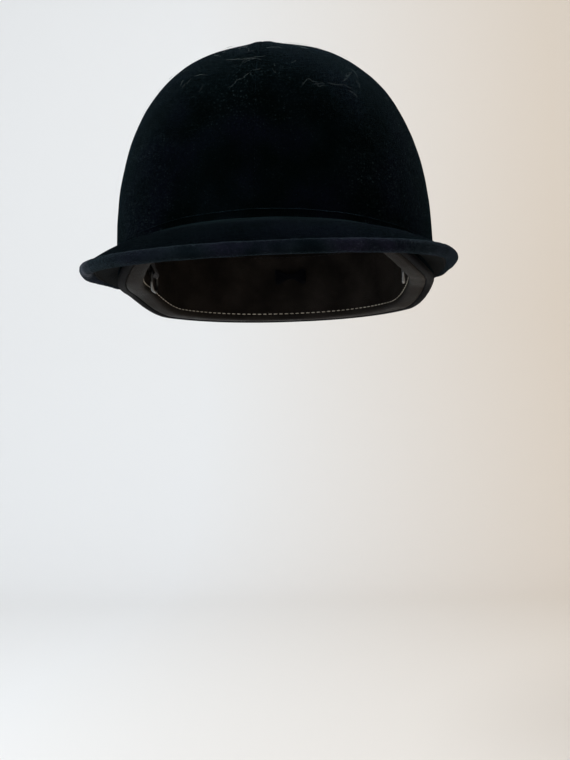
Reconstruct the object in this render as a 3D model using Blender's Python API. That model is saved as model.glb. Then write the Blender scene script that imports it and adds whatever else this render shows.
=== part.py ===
"""Velvet riding cap (hunt cap): shell, velvet cover, peak, padding and lining.

The nape rim lies flat on z = 0, and the front of the peak stays just clear of it, so
on a table the cap tips forward by a fraction of a degree. The front of the cap faces
-Y and the wearer's left is +X. Every piece is placed from the dome, by an angle round
the head (0 at the front, 90 degrees at the wearer's left ear), a height, and a depth
below the outer face of the velvet.
"""
import math

import bmesh
import bpy
from mathutils import Vector

# Dome of the cap, measured on the outer face of the velvet (metres).
CAP_HALF_WIDTH = 0.095
CAP_HALF_LENGTH = 0.114
CROWN_HEIGHT = 0.1500
SHOULDER_HEIGHT = 0.020        # the wall is upright below this height
WALL_TOP = 0.040               # above this height the rows of the dome's layers are level
PLAN_POWER = 2.15              # roundness of the head oval, 2 is an ellipse
SIDE_POWER = 2.55              # how the wall curves in towards the crown
TOP_POWER = 2.5                # how flat the crown is
CAP_CENTRE_Y = 0.02055         # puts the middle of the whole cap, peak included, on y = 0

# Lower edge: high over the forehead, a little raised over the ears, flat at the nape.
FOREHEAD_EDGE = 0.024
EAR_EDGE = 0.008

# Seam between dome and peak.
SEAM_SIDE_HEIGHT = 0.0192
SEAM_ARCH = 0.0085

# Layers of the dome, as depths below the outer face of the velvet.
GAP = 0.0003
VELVET = (0.0, 0.0012)
SHELL = (0.0015, 0.0045)
PADDING = (0.0053, 0.0112)
LINING = (0.0121, 0.0129)
SWEATBAND = (0.0132, 0.0146)
BASE_BAND = (-0.0019, -GAP)
EDGE_TRIM = (0.0, 0.0048)

# Heights of the layers: the first four are above the cap's lower edge or the seam.
EDGE_TRIM_RISE = 0.0026
SHELL_RISE = EDGE_TRIM_RISE + GAP
PAD_RISE = 0.0036
BASE_BAND_RISE = (0.0004, 0.0058)
PAD_TOP = 0.060
LINING_LOW = 0.034
SWEATBAND_TOP = 0.046
SWEATBAND_FLANGE = 0.0014      # thickness of the leather where it turns in under the pads
CROWN_PAD_TURN = math.radians(66.0)
VELVET_TOP_TURN = math.radians(88.3)     # the panels stop here, under the crown button
VELVET_SEAM_GAP = math.radians(0.12)
BASE_BAND_ANGLE = math.radians(88.0)

# Crown button.
BUTTON_RADIUS = 0.0105
BUTTON_EDGE = 0.0006
BUTTON_RISE = 0.0022

# Peak: its rim runs from the middle of the front round to the wearer's left temple,
# and its rolled edge goes on past the temple and tapers off against the dome.
RIM_HALF = [
    (0.0000, -0.1588, 0.0066),
    (0.0373, -0.1523, 0.0068),
    (0.0715, -0.1293, 0.0086),
    (0.0946, -0.0943, 0.0114),
    (0.1028, -0.0620, 0.0134),
    (0.1034, -0.0360, 0.0147),
    (0.1009, -0.0100, 0.0150),
    (0.0970, 0.0150, 0.0136),
]
# The worn peak stands a little higher on the wearer's left: its rise at each rim point.
RIM_LEFT_RISE = (0.0, 0.0008, 0.0016, 0.0021, 0.0022, 0.0017, 0.0008, 0.0)
PEAK_ROOT_ANGLE = math.radians(98.0)
PEAK_ROOT_CLEARANCE = (0.0022, 0.0026)   # from the dome, at the front and at the ends
PEAK_CROWN = 0.0035                      # how far the peak arches up between root and rim
PEAK_CROWN_FADE = (0.32, 0.66)           # places along the rim between which the arch fades out
PEAK_VELVET = (0.0, 0.0010)
PEAK_BOARD = (0.0013, 0.0037)
PEAK_CLOTH = (0.0040, 0.0048)
PEAK_MIDDLE = 0.0018
RIM_RADIUS = 0.0037
RIM_END_RADIUS = 0.0021
RIM_WALL = 0.0011
RIM_LEVEL_PLACES = (0.55, 0.85)          # from here on the rolled edge stands level, not square
PEAK_SHEET_END = 0.80                    # the board and cloths stop here, short of the rolled ends

# Tape tab and ring at each temple, inside the cap.
RING_PIVOT_HEIGHT = 0.0205
RING_PIVOT_INSET = 0.0036                # from the inner face of the sweatband
RING_WIRE = 0.0010
RING_HALF_WIDTH = 0.0080
RING_DROP = 0.0110
RING_CORNER = 0.0025
TAPE_HALF_WIDTH = 0.0060
TAPE_THICKNESS = 0.0011
TAPE_EYE_RADIUS = 0.00195

# Bow at the back of the cap, and the small one inside it (angles in degrees).
BACK_ANGLE = 180.0
BOW_HEIGHT = 0.016
BOW_LOOP_DEPTHS = (-0.0048, -GAP)
BOW_LOOP_ANGLES = (2.7, 15.0)
BOW_LOOP_HALF_HEIGHTS = (0.0040, 0.0072)
BOW_KNOT_DEPTHS = (-0.0062, -GAP)
BOW_KNOT_ANGLES = (177.6, 182.4)
BOW_KNOT_HALF_HEIGHT = 0.0062
BOW_TAIL_DEPTHS = (-0.0015, -GAP)
BOW_TAIL_START = 0.0078
BOW_TAIL_LENGTH = 0.030
BOW_TAIL_ANGLE = 3.4
BOW_TAIL_SPREAD = 5.0
BOW_TAIL_WIDTH = 5.0
INNER_BOW_DEPTHS = (SWEATBAND[1] + 0.0007, SWEATBAND[1] + 0.0032)
INNER_BOW_HEIGHT = 0.030
INNER_BOW_HALF_HEIGHTS = (0.0016, 0.0048)
INNER_BOW_ANGLES = (173.0, 187.0)
LABEL_DEPTHS = (LINING[1] + 0.0014, LINING[1] + 0.0006)
LABEL_ANGLES = (170.0, 190.0)
LABEL_TURNS = (44.0, 55.0)

ROUND_SEGMENTS = 48
DOME_ROWS = 12
PEAK_COLUMNS = 36
PEAK_ROWS = 4
RIM_STATIONS = 40
RIM_SIDES = 12
WALL_ROWS = 3


def clear_scene():
    for item in list(bpy.data.objects):
        bpy.data.objects.remove(item, do_unlink=True)


def lerp(start, end, amount):
    return start + (end - start) * amount


def ease(value, start, end):
    """A smooth step from 0 at start to 1 at end."""
    amount = min(max((value - start) / (end - start), 0.0), 1.0)
    return amount * amount * (3.0 - 2.0 * amount)


def signed_power(value, power):
    return math.copysign(abs(value) ** power, value)


# ---------------------------------------------------------------- dome geometry

def oval(angle, depth):
    """Point on the head oval, as x and y."""
    x = (CAP_HALF_WIDTH - depth) * signed_power(math.sin(angle), 2.0 / PLAN_POWER)
    y = -(CAP_HALF_LENGTH - depth) * signed_power(math.cos(angle), 2.0 / PLAN_POWER)
    return x, y


def wall_point(angle, height, depth):
    """Point of the dome at a height below the crown."""
    top = CROWN_HEIGHT - depth - SHOULDER_HEIGHT
    rise = max(height - SHOULDER_HEIGHT, 0.0) / top
    width = max(1.0 - rise ** TOP_POWER, 0.0) ** (1.0 / SIDE_POWER)
    x, y = oval(angle, depth)
    return Vector((x * width, y * width, height))


def crown_point(angle, turn, depth):
    """Point of the dome by its turn: 0 at the shoulder, a quarter turn at the crown."""
    width = math.cos(turn) ** (2.0 / SIDE_POWER)
    rise = math.sin(turn) ** (2.0 / TOP_POWER)
    x, y = oval(angle, depth)
    height = SHOULDER_HEIGHT + (CROWN_HEIGHT - depth - SHOULDER_HEIGHT) * rise
    return Vector((x * width, y * width, height))


def edge_height(angle):
    """Height of the cap's lower edge at an angle round the head."""
    side = abs(math.degrees(math.atan2(math.sin(angle), math.cos(angle))))
    height = lerp(FOREHEAD_EDGE, EAR_EDGE, ease(side, 25.0, 78.0))
    return height * (1.0 - ease(side, 90.0, 122.0))


def seam_height(angle):
    return SEAM_SIDE_HEIGHT + SEAM_ARCH * math.cos(angle) ** 2


def turn_at(height, depth):
    """Turn of the dome at a height, the inverse of crown_point's height."""
    rise = (height - SHOULDER_HEIGHT) / (CROWN_HEIGHT - depth - SHOULDER_HEIGHT)
    return math.asin(rise ** (TOP_POWER / 2.0))


def dome_column(angle, share, low, top_turn, depth):
    """Point up one column of the dome, from height low to a turn near the crown."""
    wall_share = WALL_ROWS / DOME_ROWS
    if share < wall_share:
        return wall_point(angle, lerp(low, WALL_TOP, share / wall_share), depth)
    share = (share - wall_share) / (1.0 - wall_share)
    return crown_point(angle, lerp(turn_at(WALL_TOP, depth), top_turn, share), depth)


# ---------------------------------------------------------------- peak geometry

def rim_points():
    left = [Vector((-x, y, z)) for x, y, z in reversed(RIM_HALF[1:])]
    right = [Vector((x, y, z + rise)) for (x, y, z), rise in zip(RIM_HALF, RIM_LEFT_RISE)]
    return left + right


def rim_point(place):
    """Point on the rim of the peak: place runs from -1 at one temple to 1 at the other."""
    points = rim_points()
    position = (place + 1.0) / 2.0 * (len(points) - 1)
    first = min(int(position), len(points) - 2)
    share = position - first
    before = points[max(first - 1, 0)]
    start = points[first]
    end = points[first + 1]
    after = points[min(first + 2, len(points) - 1)]
    slope_start = (end - before) / 2.0
    slope_end = (after - start) / 2.0
    square = share * share
    cube = square * share
    point = start * (2.0 * cube - 3.0 * square + 1.0)
    point += slope_start * (cube - 2.0 * square + share)
    point += end * (3.0 * square - 2.0 * cube)
    point += slope_end * (cube - square)
    return point


def peak_root(place):
    angle = PEAK_ROOT_ANGLE * place
    clearance = lerp(PEAK_ROOT_CLEARANCE[0], PEAK_ROOT_CLEARANCE[1], ease(abs(place), 0.2, 0.9))
    return wall_point(angle, seam_height(angle), -clearance)


def peak_face(place, reach):
    """Point on the peak's upper face: reach is 0 at the dome and 1 at the rim."""
    root = peak_root(place)
    rim = rim_point(place)
    point = root.lerp(rim, reach)
    end_fade = 1.0 - ease(abs(place), *PEAK_CROWN_FADE)
    point.z += PEAK_CROWN * end_fade * 4.0 * reach * (1.0 - reach)
    return point


def peak_normal(place, reach):
    step = 0.01
    near = max(place - step, -1.0)
    far = min(place + step, 1.0)
    along = peak_face(far, reach) - peak_face(near, reach)
    across = peak_face(place, min(reach + step, 1.0)) - peak_face(place, max(reach - step, 0.0))
    return across.cross(along).normalized()


def rim_direction(place):
    step = 0.01
    return (rim_point(min(place + step, 1.0)) - rim_point(max(place - step, -1.0))).normalized()


def rim_radius(place):
    return lerp(RIM_RADIUS, RIM_END_RADIUS, ease(abs(place), 0.60, 1.0))


def peak_layer(place, reach, depth):
    """Point in the peak, below its upper face and short of the rolled rim."""
    across = peak_root(place) - rim_point(place)
    width = across.cross(rim_direction(place)).length
    reach *= 1.0 - (rim_radius(place) + 2.0 * GAP) / width
    up = Vector((0.0, 0.0, 1.0)).lerp(peak_normal(place, reach), ease(reach, 0.0, 0.6)).normalized()
    return peak_face(place, reach) - up * depth


def rim_ring(place, turn, depth):
    """Point on a circle round the middle of the rolled rim, below its surface."""
    along = rim_direction(place)
    level = ease(abs(place), *RIM_LEVEL_PLACES)
    up = peak_normal(place, 1.0).lerp(Vector((0.0, 0.0, 1.0)), level)
    out = along.cross(up).normalized()
    up = out.cross(along)
    radius = rim_radius(place)
    centre = rim_point(place) - up * (PEAK_MIDDLE * radius / RIM_RADIUS)
    return centre + (up * math.cos(turn) + out * math.sin(turn)) * (radius - depth)


# ---------------------------------------------------------------- solids

def make_material(name, colour, roughness, metallic=0.0):
    material = bpy.data.materials.new(name)
    material.use_nodes = True
    shader = material.node_tree.nodes["Principled BSDF"]
    shader.inputs["Base Color"].default_value = (*colour, 1.0)
    shader.inputs["Roughness"].default_value = roughness
    shader.inputs["Metallic"].default_value = metallic
    material.diffuse_color = (*colour, 1.0)
    return material


def finish_solid(bm, name, material, parent, location=Vector()):
    """Turn a closed bmesh into a smooth-shaded object."""
    bmesh.ops.recalc_face_normals(bm, faces=bm.faces)
    mesh = bpy.data.meshes.new(name)
    bm.to_mesh(mesh)
    bm.free()
    for polygon in mesh.polygons:
        polygon.use_smooth = True
    mesh.set_sharp_from_angle(angle=math.radians(40.0))
    mesh.materials.append(material)
    item = bpy.data.objects.new(name, mesh)
    item.location = location
    item.parent = parent
    bpy.context.scene.collection.objects.link(item)
    return item


def slab(name, material, parent, place, columns, rows, wrap=False, pole=None):
    """A skin with two faces: place(u, v, side) gives the outer (0) or inner (1) point.

    The columns close into a ring with wrap, and the top rows meet in the two points
    of pole, where it is given.
    """
    bm = bmesh.new()
    column_count = columns if wrap else columns + 1
    row_count = rows if pole else rows + 1
    faces = []
    for side in (0, 1):
        faces.append([[bm.verts.new(place(i / columns, j / rows, side)) for j in range(row_count)]
                      for i in range(column_count)])
    outer, inner = faces
    caps = [bm.verts.new(point) for point in pole] if pole else None
    for i in range(columns):
        k = (i + 1) % column_count
        for j in range(row_count - 1):
            bm.faces.new((outer[i][j], outer[k][j], outer[k][j + 1], outer[i][j + 1]))
            bm.faces.new((inner[i][j + 1], inner[k][j + 1], inner[k][j], inner[i][j]))
        bm.faces.new((inner[i][0], inner[k][0], outer[k][0], outer[i][0]))
        if caps:
            bm.faces.new((outer[i][-1], outer[k][-1], caps[0]))
            bm.faces.new((inner[k][-1], inner[i][-1], caps[1]))
        else:
            bm.faces.new((outer[i][-1], outer[k][-1], inner[k][-1], inner[i][-1]))
    if not wrap:
        for i, j in [(i, j) for i in (0, columns) for j in range(row_count - 1)]:
            bm.faces.new((outer[i][j], outer[i][j + 1], inner[i][j + 1], inner[i][j]))
    return finish_solid(bm, name, material, parent)


def sweep(name, material, parent, sections, closed, location=Vector()):
    """A solid through matching outlines, with flat ends unless it closes on itself."""
    bm = bmesh.new()
    loops = [[bm.verts.new(point) for point in section] for section in sections]
    count = len(sections[0])
    pairs = len(loops) if closed else len(loops) - 1
    for i in range(pairs):
        start = loops[i]
        end = loops[(i + 1) % len(loops)]
        for j in range(count):
            k = (j + 1) % count
            bm.faces.new((start[j], start[k], end[k], end[j]))
    if not closed:
        bm.faces.new(loops[0])
        bm.faces.new(list(reversed(loops[-1])))
    return finish_solid(bm, name, material, parent, location)


def angles(count):
    return [math.tau * i / count for i in range(count)]


# ---------------------------------------------------------------- dome pieces

def dome_skin(name, material, parent, depths, low, top_turn=None, span=None):
    """A layer of the dome between two depths, whole or for a span of angles."""
    start, end = span if span else (0.0, math.tau)
    last_turn = top_turn if top_turn else math.radians(90.0)

    def place(u, v, side):
        angle = lerp(start, end, u)
        return dome_column(angle, v, low(angle), last_turn, depths[side])

    share = (end - start) / math.tau
    columns = round(ROUND_SEGMENTS * share)
    pole = None
    if not top_turn:
        pole = [Vector((0.0, 0.0, CROWN_HEIGHT - depth)) for depth in depths]
    return slab(name, material, parent, place, columns, DOME_ROWS, wrap=span is None, pole=pole)


def make_shell(parent, material):
    dome_skin("shell", material, parent, SHELL, lambda angle: edge_height(angle) + SHELL_RISE)


def make_velvet(parent, material):
    """Four velvet panels that meet in seams at the front, the back and both sides."""
    quarter = math.radians(90.0)
    names = ("velvet_front_left", "velvet_back_left", "velvet_back_right", "velvet_front_right")
    for index, name in enumerate(names):
        span = (quarter * index + VELVET_SEAM_GAP, quarter * (index + 1) - VELVET_SEAM_GAP)
        dome_skin(name, material, parent, VELVET, lambda angle: edge_height(angle) + SHELL_RISE,
                  top_turn=VELVET_TOP_TURN, span=span)


def make_crown_button(parent, material):
    """Velvet-covered button over the point where the four panels meet."""

    def place(u, v, side):
        reach = BUTTON_RADIUS * math.cos(v * math.pi / 2.0)
        angle = math.tau * u
        x = reach * math.sin(angle)
        y = -reach * math.cos(angle)
        share = math.hypot(x / CAP_HALF_WIDTH, y / CAP_HALF_LENGTH)
        dome = (1.0 - share ** SIDE_POWER) ** (1.0 / TOP_POWER)
        z = SHOULDER_HEIGHT + (CROWN_HEIGHT - SHOULDER_HEIGHT) * dome + GAP
        if side == 0:
            z += lerp(BUTTON_EDGE, BUTTON_RISE, math.sin(v * math.pi / 2.0))
        return Vector((x, y, z))

    base = CROWN_HEIGHT + GAP
    pole = [Vector((0.0, 0.0, base + BUTTON_RISE)), Vector((0.0, 0.0, base))]
    slab("crown_button", material, parent, place, 24, 5, wrap=True, pole=pole)


def band(name, material, parent, depths, low, high, span=None, rows=1):
    """An upright strip round the dome, between two heights."""
    start, end = span if span else (0.0, math.tau)

    def place(u, v, side):
        angle = lerp(start, end, u)
        return wall_point(angle, lerp(low(angle), high(angle), v), depths[side])

    columns = max(4, round(ROUND_SEGMENTS * (end - start) / math.tau))
    return slab(name, material, parent, place, columns, rows, wrap=span is None)


def make_edge_binding(parent, material):
    band("edge_binding", material, parent, EDGE_TRIM, edge_height,
         lambda angle: edge_height(angle) + EDGE_TRIM_RISE)


def make_base_band(parent, material):
    """Narrow folded band that covers the joint of dome and peak."""
    band("base_band", material, parent, BASE_BAND,
         lambda angle: seam_height(angle) + BASE_BAND_RISE[0],
         lambda angle: seam_height(angle) + BASE_BAND_RISE[1],
         span=(-BASE_BAND_ANGLE, BASE_BAND_ANGLE))


def make_pads(parent, material):
    """Foam pads between shell and sweatband, six round the head and one on the crown."""
    pads = {
        "forehead_pad": (-28.0, 28.0),
        "temple_pad_left": (30.0, 88.0),
        "rear_side_pad_left": (90.0, 148.0),
        "nape_pad": (150.0, 210.0),
        "rear_side_pad_right": (212.0, 270.0),
        "temple_pad_right": (272.0, 330.0),
    }
    for name, (start, end) in pads.items():
        band(name, material, parent, PADDING, lambda angle: edge_height(angle) + PAD_RISE,
             lambda angle: PAD_TOP, span=(math.radians(start), math.radians(end)), rows=3)

    def place(u, v, side):
        return crown_point(math.tau * u, lerp(CROWN_PAD_TURN, math.pi / 2.0, v), PADDING[side])

    pole = [Vector((0.0, 0.0, CROWN_HEIGHT - depth)) for depth in PADDING]
    slab("crown_pad", material, parent, place, ROUND_SEGMENTS, 5, wrap=True, pole=pole)


def make_lining(parent, material, label_material):
    """Satin crown lining, and the blank cloth label sewn into it."""
    dome_skin("crown_lining", material, parent, LINING, lambda angle: LINING_LOW)

    def place(u, v, side):
        angle = math.radians(lerp(*LABEL_ANGLES, u))
        turn = math.radians(lerp(*LABEL_TURNS, v))
        return crown_point(angle, turn, LABEL_DEPTHS[side])

    slab("lining_label", label_material, parent, place, 5, 3)


def make_sweatband(parent, material):
    """Leather band that turns in under the pads and stands up against the lining."""
    flange_depth = EDGE_TRIM[1] + GAP
    sections = []
    for angle in angles(ROUND_SEGMENTS):
        low = edge_height(angle) + 0.0002
        middle = (low + SWEATBAND_TOP) / 2.0
        corners = [
            (low, flange_depth),
            (low, SWEATBAND[1]),
            (middle, SWEATBAND[1]),
            (SWEATBAND_TOP, SWEATBAND[1]),
            (SWEATBAND_TOP, SWEATBAND[0]),
            (middle, SWEATBAND[0]),
            (low + SWEATBAND_FLANGE, SWEATBAND[0]),
            (low + SWEATBAND_FLANGE, flange_depth),
        ]
        sections.append([wall_point(angle, height, depth) for height, depth in corners])
    sweep("sweatband", material, parent, sections, closed=True)


# ---------------------------------------------------------------- peak pieces

def make_peak(parent, velvet, board, cloth, cord):
    """Stiff board between two cloths, with a rolled rim on a cord round its edge."""
    layers = {
        "peak_top_velvet": (PEAK_VELVET, velvet),
        "peak_board": (PEAK_BOARD, board),
        "peak_underside_cloth": (PEAK_CLOTH, cloth),
    }
    for name, (depths, material) in layers.items():

        def place(u, v, side, depths=depths):
            return peak_layer(PEAK_SHEET_END * (2.0 * u - 1.0), v, depths[side])

        slab(name, material, parent, place, PEAK_COLUMNS, PEAK_ROWS)

    slab("peak_rim_roll", velvet, parent,
         lambda u, v, side: rim_ring(2.0 * v - 1.0, math.tau * u, (0.0, RIM_WALL)[side]),
         RIM_SIDES, RIM_STATIONS, wrap=True)

    cord_depth = RIM_WALL + GAP
    stations = [2.0 * i / RIM_STATIONS - 1.0 for i in range(RIM_STATIONS + 1)]
    sections = [[rim_ring(place, turn, cord_depth) for turn in angles(RIM_SIDES)]
                for place in stations]
    sweep("peak_rim_cord", cord, parent, sections, closed=False)


# ---------------------------------------------------------------- temple tabs and rings

def tape_outline():
    """Outline of the folded tape, as distance in from the sweatband and height.

    The tape runs down the sweatband, round the ring's bar, and back up on itself.
    """
    half = TAPE_THICKNESS / 2.0
    inset = RING_PIVOT_INSET
    height = RING_PIVOT_HEIGHT
    path = [(inset - TAPE_EYE_RADIUS, height + 0.019), (inset - TAPE_EYE_RADIUS, height + 0.006)]
    for step in range(7):
        turn = math.pi + math.pi * step / 6.0
        path.append((inset + TAPE_EYE_RADIUS * math.cos(turn),
                     height + TAPE_EYE_RADIUS * math.sin(turn)))
    fold = inset - TAPE_EYE_RADIUS + TAPE_THICKNESS + 0.0002
    path += [(fold + 0.0004, height + 0.0042), (fold, height + 0.0062), (fold, height + 0.0125)]
    left = []
    right = []
    for index, (across, up) in enumerate(path):
        ahead = path[min(index + 1, len(path) - 1)]
        behind = path[max(index - 1, 0)]
        run = Vector((ahead[0] - behind[0], ahead[1] - behind[1])).normalized()
        left.append((across + run.y * half, up - run.x * half))
        right.append((across - run.y * half, up + run.x * half))
    return left + list(reversed(right))


def make_tab(name, side, parent, material):
    wall = oval(math.radians(90.0), SWEATBAND[1])[0]
    sections = []
    for y in (-TAPE_HALF_WIDTH, TAPE_HALF_WIDTH):
        sections.append([Vector((side * (wall - across), y, up)) for across, up in tape_outline()])
    sweep(name, material, parent, sections, closed=False)


def ring_path():
    """Middle line of the ring, from its bar round the curved end, about the pivot."""
    corners = [
        (RING_HALF_WIDTH, 0.0, RING_CORNER, 90.0),
        (RING_HALF_WIDTH, -RING_DROP, RING_CORNER * 2.0, 0.0),
        (-RING_HALF_WIDTH, -RING_DROP, RING_CORNER * 2.0, -90.0),
        (-RING_HALF_WIDTH, 0.0, RING_CORNER, -180.0),
    ]
    points = []
    for corner_y, corner_z, radius, first in corners:
        centre_y = corner_y - math.copysign(radius, corner_y)
        centre_z = corner_z + (radius if corner_z else -radius)
        for step in range(5):
            turn = math.radians(first - 90.0 * step / 4.0)
            y = centre_y + radius * math.cos(turn)
            z = centre_z + radius * math.sin(turn)
            points.append(Vector((0.0, y, z)))
    return points


def make_ring(name, side, parent, material):
    wall = oval(math.radians(90.0), SWEATBAND[1])[0]
    pivot = Vector((side * (wall - RING_PIVOT_INSET), 0.0, RING_PIVOT_HEIGHT))
    path = ring_path()
    sections = []
    for index, point in enumerate(path):
        along = (path[(index + 1) % len(path)] - path[index - 1]).normalized()
        out = along.cross(Vector((1.0, 0.0, 0.0)))
        sections.append([point + (out * math.cos(turn) + Vector((math.sin(turn), 0.0, 0.0))) * RING_WIRE
                         for turn in angles(8)])
    sweep(name, material, parent, sections, closed=True, location=pivot)


# ---------------------------------------------------------------- ribbons

def ribbon_patch(name, material, parent, depths, centre, half_height, across, columns=6):
    """A flat ribbon piece on the dome: across gives its angles, and v runs up it."""

    def place(u, v, side):
        angle = math.radians(lerp(across[0], across[1], u))
        height = centre + half_height(u) * (2.0 * v - 1.0)
        return wall_point(angle, height, depths[side])

    return slab(name, material, parent, place, columns, 3)


def make_back_bow(parent, material):
    """Flat grosgrain bow at the nape: two loops, a knot and two tails sewn upwards."""

    def loop_half_height(u):
        return lerp(*BOW_LOOP_HALF_HEIGHTS, ease(u, 0.0, 0.8))

    for side_name, side in (("left", -1.0), ("right", 1.0)):
        across = [BACK_ANGLE + side * angle for angle in BOW_LOOP_ANGLES]
        ribbon_patch(f"bow_loop_{side_name}", material, parent, BOW_LOOP_DEPTHS,
                     BOW_HEIGHT, loop_half_height, across)

        def tail(u, v, face, side=side):
            height = BOW_HEIGHT + BOW_TAIL_START + BOW_TAIL_LENGTH * v
            middle = BACK_ANGLE + side * (BOW_TAIL_ANGLE + BOW_TAIL_SPREAD * v)
            angle = math.radians(middle + side * (u - 0.5) * BOW_TAIL_WIDTH)
            return wall_point(angle, height, BOW_TAIL_DEPTHS[face])

        slab(f"bow_tail_{side_name}", material, parent, tail, 3, 6)
    ribbon_patch("bow_knot", material, parent, BOW_KNOT_DEPTHS,
                 BOW_HEIGHT, lambda u: BOW_KNOT_HALF_HEIGHT, BOW_KNOT_ANGLES, columns=3)


def make_sweatband_bow(parent, material):
    """Small bow that marks the back of the sweatband, inside the cap."""

    def half_height(u):
        return lerp(*INNER_BOW_HALF_HEIGHTS, ease(abs(2.0 * u - 1.0), 0.1, 0.8))

    ribbon_patch("sweatband_bow", material, parent, INNER_BOW_DEPTHS,
                 INNER_BOW_HEIGHT, half_height, INNER_BOW_ANGLES, columns=8)


def main():
    clear_scene()
    cap = bpy.data.objects.new("cap_centre", None)
    cap.location = (0.0, CAP_CENTRE_Y, 0.0)
    bpy.context.scene.collection.objects.link(cap)

    velvet = make_material("black_velvet", (0.008, 0.010, 0.013), 0.95)
    ribbon = make_material("black_grosgrain", (0.012, 0.012, 0.014), 0.6)
    board = make_material("shell_laminate", (0.16, 0.13, 0.10), 0.55)
    foam = make_material("grey_foam", (0.22, 0.22, 0.23), 0.9)
    satin = make_material("lining_satin", (0.10, 0.10, 0.12), 0.35)
    leather = make_material("sweatband_leather", (0.13, 0.09, 0.06), 0.5)
    cloth = make_material("underside_cloth", (0.02, 0.022, 0.026), 0.85)
    cord = make_material("cotton_cord", (0.55, 0.52, 0.46), 0.9)
    tape = make_material("grey_tape", (0.35, 0.35, 0.37), 0.8)
    steel = make_material("ring_steel", (0.62, 0.62, 0.60), 0.3, 1.0)
    label = make_material("label_cloth", (0.75, 0.72, 0.64), 0.7)

    make_shell(cap, board)
    make_velvet(cap, velvet)
    make_crown_button(cap, velvet)
    make_edge_binding(cap, ribbon)
    make_base_band(cap, velvet)
    make_pads(cap, foam)
    make_lining(cap, satin, label)
    make_sweatband(cap, leather)
    make_peak(cap, velvet, board, cloth, cord)
    for side_name, side in (("left", 1.0), ("right", -1.0)):
        make_tab(f"strap_tab_{side_name}", side, cap, tape)
        make_ring(f"strap_ring_{side_name}", side, cap, steel)
    make_back_bow(cap, ribbon)
    make_sweatband_bow(cap, ribbon)


main()
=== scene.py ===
"""Velvet riding cap: looks, studio light and camera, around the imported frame.

Metres, +Z up. The peak faces -Y and the wearer's left is +X. Shapes are worked out
about the middle of the head, and moved to the frame's own origin by CAP_CENTRE_Y.
"""
import math
import random
from math import cos, hypot, pi, radians, sin, sqrt, tau

import bpy
from mathutils import Matrix, Vector, noise


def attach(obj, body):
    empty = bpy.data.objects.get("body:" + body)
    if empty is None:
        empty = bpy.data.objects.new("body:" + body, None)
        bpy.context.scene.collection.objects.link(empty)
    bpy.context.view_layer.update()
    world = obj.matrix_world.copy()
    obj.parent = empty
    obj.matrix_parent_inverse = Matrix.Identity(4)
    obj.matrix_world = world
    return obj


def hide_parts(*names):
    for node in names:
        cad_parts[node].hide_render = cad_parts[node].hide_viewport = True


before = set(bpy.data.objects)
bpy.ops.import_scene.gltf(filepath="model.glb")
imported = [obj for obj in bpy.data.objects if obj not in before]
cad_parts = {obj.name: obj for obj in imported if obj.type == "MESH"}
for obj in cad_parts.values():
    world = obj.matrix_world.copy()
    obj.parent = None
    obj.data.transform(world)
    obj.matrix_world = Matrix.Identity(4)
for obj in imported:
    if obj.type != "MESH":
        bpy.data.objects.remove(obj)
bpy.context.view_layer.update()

# ---- sizes of the cap

CAP_HALF_WIDTH = 0.095
CAP_HALF_LENGTH = 0.114
CROWN_HEIGHT = 0.1500
SHOULDER_HEIGHT = 0.020
WALL_TOP = 0.040
PLAN_POWER = 2.15
SIDE_POWER = 2.55
TOP_POWER = 2.5
CAP_CENTRE_Y = 0.02055
FOREHEAD_EDGE = 0.024
EAR_EDGE = 0.008
SEAM_SIDE_HEIGHT = 0.0192
SEAM_ARCH = 0.0085
COVER_RISE = 0.0029
COVER_THICKNESS = 0.0012
COVER_TOP_TURN = radians(88.3)
COVER_SEAM_GAP = radians(0.005)
SWEATBAND_FACE = 0.0146
SWEATBAND_BACK = 0.0132
SWEATBAND_TOP = 0.046
LINING_BACK = 0.0121
LINING_FACE = 0.0129
LINING_LOW = 0.034
RIM_HALF = [
    (0.0000, -0.1588, 0.0066),
    (0.0373, -0.1523, 0.0068),
    (0.0715, -0.1293, 0.0086),
    (0.0946, -0.0943, 0.0114),
    (0.1028, -0.0620, 0.0134),
    (0.1034, -0.0360, 0.0147),
    (0.1009, -0.0100, 0.0150),
    (0.0970, 0.0150, 0.0136),
]
RIM_LEFT_RISE = (0.0, 0.0008, 0.0016, 0.0021, 0.0022, 0.0017, 0.0008, 0.0)
PEAK_ROOT_ANGLE = radians(98.0)
PEAK_CROWN = 0.0035
PEAK_CROWN_FADE = (0.32, 0.66)
PEAK_MIDDLE = 0.0018
SHEET_END = 0.99               # the peak's velvet and cloth run this far round the rim
SHEET_CLOSING = (0.76, 0.985)  # and come together at its side between these places
CORD_END = 0.89
RIM_RADIUS = 0.0037
RIM_END_RADIUS = 0.0021
RING_PIVOT_HEIGHT = 0.0205
RING_PIVOT_INSET = 0.0036
RING_WIRE = 0.00098
BOW_HEIGHT = 0.016
EAST = Vector((1.0, 0.0, 0.0))
NORTH = Vector((0.0, 1.0, 0.0))
UP = Vector((0.0, 0.0, 1.0))


def lerp(start, end, amount):
    return start + (end - start) * amount


def ease(value, start, end):
    """A smooth step from 0 at start to 1 at end."""
    amount = min(max((value - start) / (end - start), 0.0), 1.0)
    return amount * amount * (3.0 - 2.0 * amount)


def bell(value, width):
    return math.exp(-(value / width) ** 2)


def signed_power(value, power):
    return math.copysign(abs(value) ** power, value)


def ripple(point, size, seed=0.0):
    """Smooth noise from -1 to 1 whose lumps are about size across."""
    return noise.noise(Vector(point) / size + Vector((seed, seed * 1.7, seed * 0.6)))


def oval(angle, depth):
    x = (CAP_HALF_WIDTH - depth) * signed_power(sin(angle), 2.0 / PLAN_POWER)
    y = -(CAP_HALF_LENGTH - depth) * signed_power(cos(angle), 2.0 / PLAN_POWER)
    return x, y


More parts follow.
